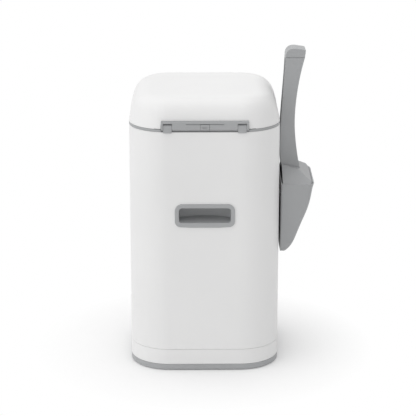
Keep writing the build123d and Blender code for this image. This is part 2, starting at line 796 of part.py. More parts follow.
with BuildPart() as handle_bezel:
    hoop(arm_mid - bezel_high / 2, arm_mid + bezel_high / 2, -bezel_wall, bezel_wall)
    block((-2 * half_width, 2 * half_width), (-half_depth / 2, 2 * half_depth), (arm_mid - bezel_high, arm_mid + bezel_high), mode=Mode.SUBTRACT)
    for side in (-1, 1):
        spare_x = sorted((side * bezel_half, side * 2 * half_width))
        block(spare_x, (-2 * half_depth, 2 * half_depth), (arm_mid - bezel_high, arm_mid + bezel_high), mode=Mode.SUBTRACT)
        arm_x = sorted((side * (arm_near - arm_clear), side * (arm_far + arm_clear)))
        block(arm_x, (-2 * half_depth, half_depth), (arm_low - arm_clear, arm_top + arm_clear), mode=Mode.SUBTRACT)
handle_bezel.part.label = "handle_bezel"
export_step(handle_bezel.part, "parts/handle_bezel.step")

with BuildPart() as return_springs:
    for side in (-1, 1):
        with BuildSketch(Plane.XZ.offset(-spring_front)) as coil:
            with Locations((side * spring_side, spring_z)):
                Circle(spring_radius)
                Circle(spring_radius - spring_wire, mode=Mode.SUBTRACT)
        extrude(coil.sketch, amount=-(spring_back - fit - spring_front))
return_springs.part.label = "return_springs"
export_step(return_springs.part, "parts/return_springs.step")

cutter_at = cutter_reach * cos(radians(45))
cutter_plane = Plane((cutter_at, -cutter_at, deck_top), x_dir=(1, 1, 0), z_dir=(0, 0, 1))
cutter_slot_plane = cutter_plane.offset(cutter_floor)
with BuildPart() as film_cutter:
    with BuildSketch(cutter_plane):
        RectangleRounded(cutter_long, cutter_wide, cutter_wide / 4)
    extrude(amount=cutter_high)
    with BuildSketch(cutter_slot_plane):
        Rectangle(cutter_long + 1, cutter_slot)
    extrude(amount=cutter_high, mode=Mode.SUBTRACT)
film_cutter.part.label = "film_cutter"
export_step(film_cutter.part, "parts/film_cutter.step")

with BuildPart() as cutter_blade:
    with BuildSketch(cutter_slot_plane):
        Rectangle(blade_long, blade_wall)
    extrude(amount=blade_high)
cutter_blade.part.label = "cutter_blade"
export_step(cutter_blade.part, "parts/cutter_blade.step")

# ================================================================ door

door_mid = (door_low + door_high) / 2
panel_low = door_low + 2 * door_gap
panel_high = door_high - door_gap
lug_low = panel_low - door_tube_out - lug_gap
lug_high = panel_high + door_tube_out + lug_gap
frame_low = lug_low - lug_wall
frame_high = door_high + frame_border


def front_band(low, high, inset, thick, x_low, x_high):
    """A strip of the front wall's own curve between two x values."""
    with BuildPart() as band:
        hoop(low, high, inset, thick)
        block((x_low, x_high), (-2 * half_depth, -half_depth / 2), (low - 1, high + 1), mode=Mode.INTERSECT)
    return band.part


pan_x = door_half - pan_inset
pan_front = -half_depth + shell_wall
pan_back = pan_front + pan_depth
pan_low = panel_low + pan_inset
pan_high = panel_high - pan_inset
bracket_y = pan_back + strike_thick + fit + magnet_thick
magnet_z = (magnet_high - magnet_size / 2, magnet_high + magnet_size / 2)
magnet_span = (magnet_x - magnet_size / 2, magnet_x + magnet_size / 2)

with BuildPart() as door_frame:
    left = -door_half - frame_border
    right = door_half + door_swing_gap + frame_border
    add(front_band(frame_low, lug_low, spigot_inset, frame_wall, left, right))
    add(front_band(lug_high, frame_high, spigot_inset, frame_wall, left, right))
    add(front_band(frame_low, frame_high, spigot_inset, frame_wall, left, -door_half + lip_border))
    add(front_band(frame_low, frame_high, spigot_inset, frame_wall, door_half + door_swing_gap + lip_border / 2, right))
    with BuildSketch(Plane.XY.offset(frame_low)):
        with Locations((door_axis_x, door_y)):
            Circle(lug_radius)
    extrude(amount=lug_low - frame_low)
    with BuildSketch(Plane.XY.offset(lug_high)):
        with Locations((door_axis_x, door_y)):
            Circle(lug_radius)
    extrude(amount=lug_radius)
    hoop(frame_low, frame_high, 0, spigot_inset, mode=Mode.SUBTRACT)
    add(front_band(frame_low, frame_high, baffle_inset, frame_wall, door_axis_x, right))
    step_wall = baffle_inset + frame_wall - spigot_inset
    add(front_band(frame_low, frame_high, spigot_inset, step_wall, right - frame_wall, right))
    post([(door_axis_x, door_y)], frame_low, frame_high, door_pin + pin_grip, mode=Mode.SUBTRACT)
    block((left, magnet_x + magnet_size / 2), (bracket_y, bracket_y + bracket_wall), magnet_z)
    block((left, -door_half), (front_skin(left, spigot_inset + frame_wall / 2), bracket_y + bracket_wall), magnet_z)
door_frame.part.label = "door_frame"
export_step(door_frame.part, "parts/door_frame.step")

with BuildPart() as door_pins:
    post([(door_axis_x, door_y)], frame_low + pin_recess, panel_low + door_pin_reach, door_pin)
    post([(door_axis_x, door_y)], panel_high - door_pin_reach, lug_high + lug_radius - pin_recess, door_pin)
door_pins.part.label = "door_pins"
export_step(door_pins.part, "parts/door_pins.step")

with BuildPart() as door_panel:
    add(front_band(panel_low, panel_high, 0, shell_wall, -door_half, door_half))
door_panel.part.label = "door_panel"
export_step(door_panel.part, "parts/door_panel.step")

with BuildPart() as door_magnet:
    block(magnet_span, (bracket_y - magnet_thick, bracket_y), magnet_z)
door_magnet.part.label = "door_magnet"
export_step(door_magnet.part, "parts/door_magnet.step")

with BuildPart() as strike_plate:
    block(magnet_span, (pan_back, pan_back + strike_thick), magnet_z)
strike_plate.part.label = "strike_plate"
export_step(strike_plate.part, "parts/strike_plate.step")

with BuildPart() as door_pan:
    block((-pan_x, pan_x - pan_inset), (pan_front, pan_front + pan_depth), (pan_low, pan_high))
    block(
        (-pan_x + pan_wall, pan_x - pan_inset - pan_wall),
        (pan_front, pan_front + pan_depth - pan_wall),
        (pan_low + pan_wall, pan_high - pan_wall),
        mode=Mode.SUBTRACT,
    )
    block((pan_x - pan_inset - 1, door_axis_x), (door_y - hinge_web / 2, door_y + hinge_web / 2), (pan_low, pan_high))
    post([(door_axis_x, door_y)], panel_low - door_tube_out, panel_high + door_tube_out, door_tube)
    slab(panel_low - 1, panel_high + 1, shell_wall, mode=Mode.INTERSECT)
    post([(door_axis_x, door_y)], panel_low - 1, panel_high + 1, door_pin + pin_clear, mode=Mode.SUBTRACT)
door_pan.part.label = "door_pan"
export_step(door_pan.part, "parts/door_pan.step")

# ================================================================ scoop holder


def pocket_depth(share):
    return holder_depth - holder_taper * share**holder_power - holder_tip * share**holder_tip_power


def pocket_section(share, inset, back):
    """D-shaped section of the holder at a share of its height below the rim."""
    depth = pocket_depth(share)
    half = holder_half - holder_narrow * share - inset
    near = -half_width - back
    far = -half_width - depth + inset
    scale = (near - far) / (holder_depth - back - inset)
    with BuildSketch(Plane.XY.offset(holder_rim - share * holder_tall)) as section:
        with BuildLine():
            FilletPolyline(
                (near, -half),
                (far, -half),
                (far, half),
                (near, half),
                radius=[
                    holder_back_corner * scale,
                    (holder_corner_front - inset) * scale,
                    (holder_corner_rear - inset) * scale,
                    holder_back_corner * scale,
                ],
                close=True,
            )
        make_face()
    return section.sketch


def pocket(shares, inset, back):
    with BuildPart() as body:
        loft([pocket_section(share, inset, back) for share in shares])
    return body.part


wall_shares = [0.25, 0.5, 0.75, 0.93]
holder_shares = [0, *wall_shares, 1.0]
floor_share = 1.0 - holder_wall / holder_tall
cavity_shares = [0, *wall_shares, floor_share]
holder_low = holder_rim - holder_tall

with BuildPart() as scoop_holder:
    add(pocket(holder_shares, 0, holder_gap))
    add(pocket(cavity_shares, holder_wall, holder_gap + holder_wall), mode=Mode.SUBTRACT)
    for y in hook_sides:
        hook_y = (y - hook_half, y + hook_half)
        inside = -half_width + shell_wall + fit
        block((-half_width - holder_gap - 1, inside + hook_thick), hook_y, (hook_low, hook_low + hook_neck))
        block((inside, inside + hook_thick), hook_y, (hook_low - hook_lip, hook_low + hook_neck))
    spacer_low = holder_low + spacer_rise
    block((-half_width - holder_gap - 1, -half_width - fit), (-hook_side, hook_side), (spacer_low, spacer_low + spacer_high))
scoop_holder.part.label = "scoop_holder"
export_step(scoop_holder.part, "parts/scoop_holder.step")

# ================================================================ scoop

scoop_inset = holder_wall + scoop_gap
scoop_back = holder_gap + holder_wall + scoop_gap
scoop_top_share = scoop_sink / holder_tall
scoop_tip_share = 1.0 - (holder_wall + fit) / holder_tall
scoop_shares = [scoop_top_share, *wall_shares, scoop_tip_share]
basket_shares = [scoop_top_share, *wall_shares, scoop_tip_share - scoop_wall / holder_tall]
basket_top = holder_rim - scoop_sink


def hood(grow):
    """The sloping heel between the basket and the handle, less a wall."""
    half = holder_half - scoop_inset - grow
    near = -half_width - scoop_back + grow
    far = -half_width - holder_depth + scoop_inset + grow
    with BuildPart() as roof:
        with BuildSketch(Plane.XZ):
            with BuildLine():
                Polyline(
                    (near, basket_top),
                    (near, hood_back - grow),
                    (-half_width - hood_step_out, hood_step - grow),
                    (far, hood_front - grow),
                    (far, basket_top),
                    (near, basket_top),
                )
            make_face()
        extrude(amount=half, both=True)
        with BuildSketch(Plane.YZ.offset(-2 * half_width)) as gable:
            with BuildLine():
                Polyline(
                    (-half, basket_top),
                    (-half, basket_top + hood_eave),
                    (-hood_ridge, hood_back + 1 - grow),
                    (hood_ridge, hood_back + 1 - grow),
                    (half, basket_top + hood_eave),
                    (half, basket_top),
                    (-half, basket_top),
                )
            make_face()
        extrude(gable.sketch, amount=2 * half_width, mode=Mode.INTERSECT)
        core = pocket_section(scoop_top_share, scoop_inset + grow, scoop_back - grow)
        extrude(core, amount=2 * (hood_back - basket_top), mode=Mode.INTERSECT)
    return roof.part


def handle_out(share):
    """Outer edge of the handle at a share of its height: it waists in and flares to the top."""
    if share < waist_share:
        return waist_out + (foot_out - waist_out) * (1 - share / waist_share)**foot_flare
    return waist_out + (head_out - waist_out) * ((share - waist_share) / (1 - waist_share))**head_flare


def handle_profile(grow, low, high):
    """Side view of the handle between two heights."""
    tall = handle_top - handle_foot
    shares = [0, waist_share / 3, waist_share / 1.5, waist_share, 0.64, 0.82, 1]
    front = [(grow - half_width - handle_out(share), handle_foot + share * tall) for share in shares]
    backs = ((1, head_back), (waist_share, grip_back), (heel_share, grip_back), (0, foot_back))
    back = [(-half_width - out, handle_foot + share * tall) for share, out in backs]
    with BuildSketch(Plane.XZ) as side:
        with BuildLine():
            Spline(*front)
            Line(front[-1], back[0])
            Spline(*back)
            Line(back[-1], front[0])
        make_face()
        with BuildSketch(mode=Mode.INTERSECT):
            with Locations((-half_width, (low + high) / 2)):
                Rectangle(4 * holder_depth, high - low)
    return side.sketch


with BuildPart() as scoop:
    extrude(handle_profile(0, handle_foot, handle_top), amount=grip_half, both=True)
    extrude(
        handle_profile(grip_shell, handle_foot + grip_shell, handle_top - grip_shell),
        amount=grip_half - grip_shell,
        both=True,
        mode=Mode.SUBTRACT,
    )
    add(pocket(scoop_shares, scoop_inset, scoop_back))
    add(hood(0))
    add(pocket(basket_shares, scoop_inset + scoop_wall, scoop_back - scoop_wall), mode=Mode.SUBTRACT)
    add(hood(hood_wall), mode=Mode.SUBTRACT)
    for index in range(slot_count):
        slot_y = (index - (slot_count - 1) / 2) * slot_pitch
        block(
            (-half_width - 2 * holder_depth, -half_width - scoop_back),
            (slot_y - slot_width / 2, slot_y + slot_width / 2),
            (holder_low + slot_low, holder_low + slot_high),
            mode=Mode.SUBTRACT,
        )
scoop.part.label = "scoop"
export_step(scoop.part, "parts/scoop.step")

with BuildPart() as scoop_cap:
    cap_low = handle_top + cap_gap
    with BuildSketch(Plane.XZ):
        with BuildLine():
            FilletPolyline(
                (-half_width - head_back, cap_low),
                (-half_width - head_back - cap_lean, cap_top),
                (-half_width - cap_crown_out, cap_top),
                (-half_width - head_out - cap_nose, cap_top - cap_slope),
                (-half_width - head_out, cap_low),
                radius=[cap_edge, cap_round, cap_crown, cap_nose, cap_edge],
                close=True,
            )
        make_face()
    extrude(amount=grip_half, both=True)
scoop_cap.part.label = "scoop_cap"
export_step(scoop_cap.part, "parts/scoop_cap.step")
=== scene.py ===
import bpy, bmesh, json, math
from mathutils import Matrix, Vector


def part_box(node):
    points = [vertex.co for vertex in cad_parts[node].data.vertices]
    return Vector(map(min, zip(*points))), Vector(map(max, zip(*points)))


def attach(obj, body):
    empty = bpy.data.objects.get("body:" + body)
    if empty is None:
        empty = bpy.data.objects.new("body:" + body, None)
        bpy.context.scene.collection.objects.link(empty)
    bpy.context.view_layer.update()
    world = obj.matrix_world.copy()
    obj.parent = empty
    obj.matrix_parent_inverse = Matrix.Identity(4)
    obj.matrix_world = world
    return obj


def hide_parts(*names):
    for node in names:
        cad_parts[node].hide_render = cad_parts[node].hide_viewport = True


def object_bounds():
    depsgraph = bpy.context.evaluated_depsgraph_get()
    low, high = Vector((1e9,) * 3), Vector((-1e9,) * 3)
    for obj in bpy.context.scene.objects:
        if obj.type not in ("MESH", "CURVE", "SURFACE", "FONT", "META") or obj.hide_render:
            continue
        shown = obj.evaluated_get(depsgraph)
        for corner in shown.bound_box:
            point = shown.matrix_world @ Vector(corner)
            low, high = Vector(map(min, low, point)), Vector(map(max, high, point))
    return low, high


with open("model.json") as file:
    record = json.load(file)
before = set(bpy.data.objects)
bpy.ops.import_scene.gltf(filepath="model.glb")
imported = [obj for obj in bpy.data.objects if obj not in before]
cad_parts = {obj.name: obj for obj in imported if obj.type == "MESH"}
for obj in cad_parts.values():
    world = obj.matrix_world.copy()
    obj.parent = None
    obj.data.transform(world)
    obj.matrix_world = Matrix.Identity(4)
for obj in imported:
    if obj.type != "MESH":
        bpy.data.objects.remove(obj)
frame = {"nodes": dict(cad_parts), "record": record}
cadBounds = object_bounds()
nodes = frame["nodes"]
record = frame["record"]
scene = bpy.context.scene
print("frame loaded,", len(nodes), "nodes")

# the camera stands at the photograph's angle, behind the pail and a little above it
photoView = {
    "lens": 151.96,
    "sensor": 36.0,
    "pitch": 17.0,
    "yaw": 0.55,
    "distance": 2.6496,
    "height": 1.0398,
    "shiftPixels": 3.8,
    "framePixels": 416,
    "clipEnd": 60,
}


def addCamera(view):
    data = bpy.data.cameras.new("photoCamera")
    data.lens = view["lens"]
    data.sensor_width = view["sensor"]
    data.sensor_fit = "HORIZONTAL"
    data.shift_x = view["shiftPixels"] / view["framePixels"]
    data.clip_end = view["clipEnd"]
    camera = bpy.data.objects.new("photoCamera", data)
    scene.collection.objects.link(camera)
    yaw, pitch = math.radians(view["yaw"]), math.radians(view["pitch"])
    away = Vector((math.sin(yaw), math.cos(yaw), 0.0))
    camera.location = (view["distance"] * away.x, view["distance"] * away.y, view["height"])
    look = Vector((-away.x * math.cos(pitch), -away.y * math.cos(pitch), -math.sin(pitch)))
    camera.rotation_euler = look.to_track_quat("-Z", "Y").to_euler()
    scene.camera = camera


addCamera(photoView)
print("camera placed")


# node trees are written as expressions: a Link is a socket whose operators add Math nodes
class Link:
    def __init__(self, graph, socket):
        self.graph, self.socket = graph, socket

    def join(self, operation, first, second):
        return self.graph.make("ShaderNodeMath", {"operation": operation}, {0: first, 1: second})

    def __add__(self, other): return self.join("ADD", self, other)
    def __radd__(self, other): return self.join("ADD", other, self)
    def __sub__(self, other): return self.join("SUBTRACT", self, other)
    def __rsub__(self, other): return self.join("SUBTRACT", other, self)
    def __mul__(self, other): return self.join("MULTIPLY", self, other)
    def __rmul__(self, other): return self.join("MULTIPLY", other, self)


# makes the nodes of a shader or geometry tree
class Graph:
    def __init__(self, tree):
        self.tree = tree

    def make(self, kind, settings=None, inputs=None, out=0):
        node = self.tree.nodes.new(kind)
        for key, value in (settings or {}).items():
            setattr(node, key, value)
        for key, value in (inputs or {}).items():
            if isinstance(value, Link):
                self.tree.links.new(value.socket, node.inputs[key])
            else:
                node.inputs[key].default_value = value
        return Link(self, node.outputs[out]) if len(node.outputs) else node

    def noise(self, place, scale, detail=3.0, rough=0.5):
        return self.make("ShaderNodeTexNoise", None, {
            "Vector": place, "Scale": scale, "Detail": detail, "Roughness": rough})

    def spread(self, value, low, high):
        # 0 below low, 1 above high
        return self.make("ShaderNodeMapRange", {"clamp": True}, {0: value, 1: low, 2: high, 3: 0.0, 4: 1.0})

    def tint(self, factor, first, second):
        return self.make("ShaderNodeMix", {"data_type": "RGBA"}, {0: factor, 6: first, 7: second}, out=2)

    def mapping(self, place, scale, turn=(0.0, 0.0, 0.0)):
        return self.make("ShaderNodeMapping", None, {"Vector": place, "Rotation": turn, "Scale": scale})

    def rays(self, *kinds):
        # 1 for a ray of one of these kinds
        source = self.tree.nodes.new("ShaderNodeLightPath")
        first, *others = [Link(self, source.outputs["Is " + kind + " Ray"]) for kind in kinds]
        return sum(others, first)


def newMaterial(name):
    material = bpy.data.materials.new(name)
    material.use_nodes = True
    material.node_tree.nodes.clear()
    graph = Graph(material.node_tree)
    place = graph.make("ShaderNodeTexCoord", None, None, out=3)
    return material, graph, place


def closeMaterial(graph, shader):
    graph.make("ShaderNodeOutputMaterial", None, {"Surface": shader})


def grey(level, warm=0.0):
    return (level * (1 + warm), level, level * (1 - warm), 1.0)


plasticFinishes = {
    "shellWhite": {
        "level": 0.80, "warm": 0.002, "mottle": 0.012,
        "rough": 0.42, "sparkle": 1900, "grain": 0.10, "scuff": 0.05,
    },
    "innerWhite": {
        "level": 0.70, "warm": 0.004, "mottle": 0.02,
        "rough": 0.48, "sparkle": 1300, "grain": 0.20, "scuff": 0.05,
    },
    "trimGrey": {
        "level": 0.38, "warm": -0.018, "mottle": 0.02,
        "rough": 0.42, "sparkle": 1500, "grain": 0.22, "scuff": 0.05,
    },
    "baseGrey": {
        "level": 0.395, "warm": -0.018, "mottle": 0.03,
        "rough": 0.48, "sparkle": 1500, "grain": 0.28, "scuff": 0.08,
    },
    "scoopGrey": {
        "level": 0.372, "warm": -0.018, "mottle": 0.02,
        "rough": 0.40, "sparkle": 1500, "grain": 0.22, "scuff": 0.06,
    },
    "innerGrey": {
        "level": 0.20, "warm": 0.0, "mottle": 0.03,
        "rough": 0.5, "sparkle": 1300, "grain": 0.30, "scuff": 0.05,
    },
}

# what all the moulded plastics share
plasticTexture = {
    "cloud": {"scale": 9.0, "detail": 2.0},               # slow drift in shade over a moulding
    "cloudSpan": (0.3, 0.7),
    "speck": {"detail": 2.0, "rough": 0.6},               # fine spark-eroded texture
    "speckGain": 0.08,
    "speckDepth": 0.00004,
    "streak": {"scale": 1.0, "detail": 2.0},              # fine scratches, mostly along one way
    "streakScale": (40.0, 900.0, 900.0),
    "streakTurn": (0.3, 0.7, 0.2),
    "streakSpan": (0.62, 0.78),
    "rub": {"scale": 26.0, "detail": 3.0},                # patches dulled by handling
    "rubSpan": (0.45, 0.75),
    "ripple": {"scale": 14.0, "detail": 1.0},             # faint sink and flow over the walls
    "rippleBump": {"Strength": 0.06, "Distance": 0.0006},
    "ior": 1.49,
}


def mouldedPlastic(name, finish):
    material, g, place = newMaterial(name)
    texture = plasticTexture
    cloud = g.spread(g.noise(place, **texture["cloud"]), *texture["cloudSpan"])
    speck = g.noise(place, finish["sparkle"], **texture["speck"])
    level, warm, mottle = finish["level"], finish["warm"], finish["mottle"]
    colour = g.tint(cloud, grey(level * (1 - mottle), warm), grey(level * (1 + mottle), warm))
    streakPlace = g.mapping(place, texture["streakScale"], texture["streakTurn"])
    streak = g.spread(g.noise(streakPlace, **texture["streak"]), *texture["streakSpan"])
    rub = g.spread(g.noise(place, **texture["rub"]), *texture["rubSpan"])
    wear = rub * finish["scuff"] + streak * rub * finish["scuff"]
    rough = finish["rough"] + (speck - 0.5) * texture["speckGain"] + wear
    ripple = g.noise(place, **texture["ripple"])
    low = g.make("ShaderNodeBump", None, {"Height": ripple, **texture["rippleBump"]})
    fine = g.make("ShaderNodeBump", None, {
        "Strength": finish["grain"], "Distance": texture["speckDepth"], "Height": speck, "Normal": low})
    closeMaterial(g, g.make("ShaderNodeBsdfPrincipled", None, {
        "Base Color": colour, "Roughness": rough, "IOR": texture["ior"], "Normal": fine}))
    return material


rubberFinishes = {
    "footRubber": {"level": 0.045, "rough": 0.75, "bumps": 900},
    "sealRubber": {"level": 0.33, "rough": 0.62, "bumps": 1200},
}

# what both rubbers share
rubberTexture = {
    "bloom": {"scale": 40.0, "detail": 4.0},              # pale bloom that rubber gathers
    "bloomSpan": (0.4, 0.8),
    "bloomShare": 0.5,
    "bloomGain": 1.6,
    "bloomLift": 0.01,
    "pebble": {"detail": 3.0, "rough": 0.65},
    "pebbleGain": 0.2,
    "pebbleBump": {"Strength": 0.35, "Distance": 0.00008},
    "ior": 1.52,
}


def softRubber(name, finish):
    material, g, place = newMaterial(name)
    texture = rubberTexture
    bloom = g.spread(g.noise(place, **texture["bloom"]), *texture["bloomSpan"])
    pale = grey(finish["level"] * texture["bloomGain"] + texture["bloomLift"])
    colour = g.tint(bloom * texture["bloomShare"], grey(finish["level"]), pale)
    pebble = g.noise(place, finish["bumps"], **texture["pebble"])
    rough = finish["rough"] + (pebble - 0.5) * texture["pebbleGain"]
    bump = g.make("ShaderNodeBump", None, {"Height": pebble, **texture["pebbleBump"]})
    closeMaterial(g, g.make("ShaderNodeBsdfPrincipled", None, {
        "Base Color": colour, "Roughness": rough, "IOR": texture["ior"], "Normal": bump}))
    return material


steelFinish = {
    "colour": (0.56, 0.565, 0.58, 1.0),
    "dark": (0.42, 0.425, 0.43, 1.0),
    "rough": 0.3,
    "brush": {"scale": 2600.0, "detail": 3.0},            # drawn out along Y
    "brushScale": (1.0, 0.06, 1.0),
    "brushGain": 0.25,
    "brushBump": {"Strength": 0.15, "Distance": 0.00003},
    "stain": {"scale": 90.0, "detail": 3.0},
    "stainSpan": (0.4, 0.7),
    "stainGain": 0.08,
}


def platedSteel(name, finish):
    material, g, place = newMaterial(name)
    brush = g.noise(g.mapping(place, finish["brushScale"]), **finish["brush"])
    stain = g.spread(g.noise(place, **finish["stain"]), *finish["stainSpan"])
    colour = g.tint(stain, finish["colour"], finish["dark"])
    rough = finish["rough"] + (brush - 0.5) * finish["brushGain"] + stain * finish["stainGain"]
    bump = g.make("ShaderNodeBump", None, {"Height": brush, **finish["brushBump"]})
    closeMaterial(g, g.make("ShaderNodeBsdfPrincipled", None, {
        "Base Color": colour, "Metallic": 1.0, "Roughness": rough, "Normal": bump}))
    return material


filmFinish = {
    "colour": (0.62, 0.66, 0.70, 1.0),
    "pale": (0.74, 0.77, 0.80, 1.0),
    "rough": 0.22,
    "crease": {"scale": 160.0, "detail": 5.0, "rough": 0.6},   # drawn out along Z
    "creaseScale": (1.0, 1.0, 0.25),
    "creaseSpan": (0.35, 0.65),
    "creaseGain": 0.15,
    "creaseBump": {"Strength": 0.6, "Distance": 0.0006},
    "ior": 1.5,
}


def gatheredFilm(name, finish):
    material, g, place = newMaterial(name)
    crease = g.noise(g.mapping(place, finish["creaseScale"]), **finish["crease"])
    colour = g.tint(g.spread(crease, *finish["creaseSpan"]), finish["colour"], finish["pale"])
    rough = finish["rough"] + crease * finish["creaseGain"]
    bump = g.make("ShaderNodeBump", None, {"Height": crease, **finish["creaseBump"]})
    closeMaterial(g, g.make("ShaderNodeBsdfPrincipled", None, {
        "Base Color": colour, "Roughness": rough, "IOR": finish["ior"], "Normal": bump}))
    return material


finishOf = {}
for slotName, finishName in (
    ("shell_white", "shellWhite"), ("inner_white", "innerWhite"), ("trim_grey", "trimGrey"),
    ("base_grey", "baseGrey"), ("scoop_grey", "scoopGrey"), ("inner_grey", "innerGrey"),
):
    finishOf[slotName] = mouldedPlastic(finishName, plasticFinishes[finishName])
finishOf["rubber"] = softRubber("footRubber", rubberFinishes["footRubber"])
finishOf["seal"] = softRubber("sealRubber", rubberFinishes["sealRubber"])
finishOf["steel"] = platedSteel("platedSteel", steelFinish)
finishOf["film"] = gatheredFilm("gatheredFilm", filmFinish)
print("materials made:", len(finishOf))

slotOf = {entry["node"]: entry["material_slot"] for entry in record["subparts"]}
bodyOf = {name: body for body, members in record["behaviour"]["bodies"].items() for name in members}
dressed = set()                                           # nodes that have a piece of their own here


def linkedObject(name, mesh):
    piece = bpy.data.objects.new(name, mesh)
    scene.collection.objects.link(piece)
    return piece


def settle(piece, name):
    # the piece takes the node's finish, body and slot, and replaces it
    body, slotName = bodyOf[name], slotOf[name]
    piece.data.materials.clear()
    piece.data.materials.append(finishOf[slotName])
    for face in piece.data.polygons:
        face.material_index = 0
    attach(piece, body)
    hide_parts(name)
    dressed.add(name)


def finished(piece):
    # applies every modifier and leaves one plain mesh
    graph = bpy.context.evaluated_depsgraph_get()
    mesh = bpy.data.meshes.new_from_object(piece.evaluated_get(graph), depsgraph=graph)
    piece.modifiers.clear()
    old = piece.data
    piece.data = mesh
    if old.users == 0:
        bpy.data.meshes.remove(old)
    return piece


# mouldings get softened edges, made from merged copies of the solids
edgeWork = {
    "sharpAngle": 33.0,
    "flatAngle": 0.35,
    "merge": 0.000002,
    "segments": 2,
    "widths": {
        "outer_casing": 0.0005, "base_skirt": 0.0005, "base_tray": 0.0004, "lid_shell": 0.0005,
        "top_collar": 0.0004, "hinge_bar": 0.0004, "release_tab": 0.0003, "rear_grip_cup": 0.0004,
        "scoop_holder": 0.0004, "scoop": 0.0003, "scoop_cap": 0.0003, "lid_tab": 0.0004,
        "pull_handle": 0.0005, "handle_bezel": 0.0004, "door_panel": 0.0005, "door_pan": 0.0004,
        "door_frame": 0.0004, "head_frame": 0.0005, "cassette_cover": 0.0004, "cassette_body": 0.0004,
        "lid_liner": 0.0004, "clamp_frame": 0.0004, "film_cutter": 0.0005, "sliding_jaw": 0.0006,
        "fixed_jaw": 0.0006,
    },
}


def mergedCopy(name):
    mesh = nodes[name].data.copy()
    mesh.name = name + "Soft"
    form = bmesh.new()
    form.from_mesh(mesh)
    bmesh.ops.remove_doubles(form, verts=form.verts, dist=edgeWork["merge"])
    flat = math.radians(edgeWork["flatAngle"])
    bmesh.ops.dissolve_limit(form, angle_limit=flat, verts=form.verts, edges=form.edges)
    form.to_mesh(mesh)
    form.free()
    return mesh


lidCrown = {"start": 0.005, "drop": 0.0019, "tuck": 0.023}


def roundCrown(mesh, crown):
    # draws the lid's upper part in and down, as the photograph's shoulders are softer
    low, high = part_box("lid_shell")
    start = low.z + crown["start"]
    for vertex in mesh.vertices:
        rise = (vertex.co.z - start) / (high.z - start)
        if rise > 0:
            tuck = 1 - crown["tuck"] * math.sin(math.pi * rise)
            vertex.co.x *= tuck
            vertex.co.y *= tuck
            vertex.co.z -= crown["drop"] * rise * rise


def softEdged(name, width):
    mesh = mergedCopy(name)
    if name == "lid_shell":
        roundCrown(mesh, lidCrown)
    piece = linkedObject(name + "_moulding", mesh)
    sharp = math.radians(edgeWork["sharpAngle"])
    mesh.shade_smooth()
    mesh.set_sharp_from_angle(angle=sharp)
    bevel = piece.modifiers.new("round", "BEVEL")
    bevel.limit_method = "ANGLE"
    bevel.angle_limit = sharp
    bevel.width = width
    bevel.segments = edgeWork["segments"]
    bevel.use_clamp_overlap = True
    bevel.harden_normals = False
    weighted = piece.modifiers.new("shade", "WEIGHTED_NORMAL")
    weighted.keep_sharp = True
    settle(finished(piece), name)


for name, width in edgeWork["widths"].items():
    softEdged(name, width)
print("mouldings softened:", len(dressed))


# a geometry tree with named inputs, which ends in Realize Instances and Set Material
class FormTree(Graph):
    def __init__(self, name, inputs):
        tree = bpy.data.node_groups.new(name, "GeometryNodeTree")
        super().__init__(tree)
        tree.interface.new_socket("Geometry", in_out="INPUT", socket_type="NodeSocketGeometry")
        for label, value in inputs.items():
            socket = tree.interface.new_socket(label, in_out="INPUT", socket_type="NodeSocketFloat")
            socket.default_value = value
        tree.interface.new_socket("Geometry", in_out="OUTPUT", socket_type="NodeSocketGeometry")
        self.source = tree.nodes.new("NodeGroupInput")

    def given(self, label):
        return Link(self, self.source.outputs[label])

    def raised(self, geometry, height):
        up = self.make("ShaderNodeCombineXYZ", None, {2: height})
        return self.make("GeometryNodeTransform", None, {"Geometry": geometry, "Translation": up})

    def cylinder(self, sides, radius, depth):
        return self.make("GeometryNodeMeshCylinder", {"fill_type": "NGON"}, {
            "Vertices": sides, "Radius": radius, "Depth": depth})

    def tube(self, curve, sides, radius):
        wire = self.make("GeometryNodeCurvePrimitiveCircle", None, {"Resolution": sides, "Radius": radius})
        return self.make("GeometryNodeCurveToMesh", None, {
            "Curve": curve, "Profile Curve": wire, "Fill Caps": True})

    def add(self, joined, index, *parts):
        # more links into an input that takes several
        for part in parts:
            self.tree.links.new(part.socket, joined.socket.node.inputs[index])

    def close(self, instance, rotation, material):
        placed = self.make("GeometryNodeInstanceOnPoints", None, {
            "Points": self.given("Geometry"), "Instance": instance, "Rotation": rotation})
        real = self.make("GeometryNodeRealizeInstances", None, {0: placed})
        finish = self.make("GeometryNodeSetMaterial", None, {"Geometry": real, "Material": material})
        self.make("NodeGroupOutput", None, {0: finish})


def runTree(name, points, tree, values):
    # points carry the tree; the result becomes a plain mesh
    mesh = bpy.data.meshes.new(name)
    mesh.from_pydata(points, [], [])
    piece = linkedObject(name, mesh)
    modifier = piece.modifiers.new("form", "NODES")
    modifier.node_group = tree
    for item in tree.interface.items_tree:
        if item.in_out == "INPUT" and item.name in values:
            modifier[item.identifier] = values[item.name]
    return finished(piece)


# sizes in metres, then shares of the head's and the shank's own sizes, then counts
screwForm = {
    "headRadius": 0.0032, "headHeight": 0.0022, "shankRadius": 0.0016, "pitch": 0.0013,
    "recess": 0.0014, "slot": 0.0009,
    "headFit": 0.985, "domeTop": 0.72, "domeHeight": 0.45, "domeMiddle": 0.52,
    "discHeight": 0.53, "discMiddle": 0.265, "slotReach": 1.1, "slotDepth": 2.0,
    "core": 0.82, "threadRadius": 0.84, "threadLength": 0.94, "threadLow": 0.97, "threadWire": 0.15,
    "headSides": 28, "coreSides": 20, "threadSteps": 20, "wireSides": 6,
}


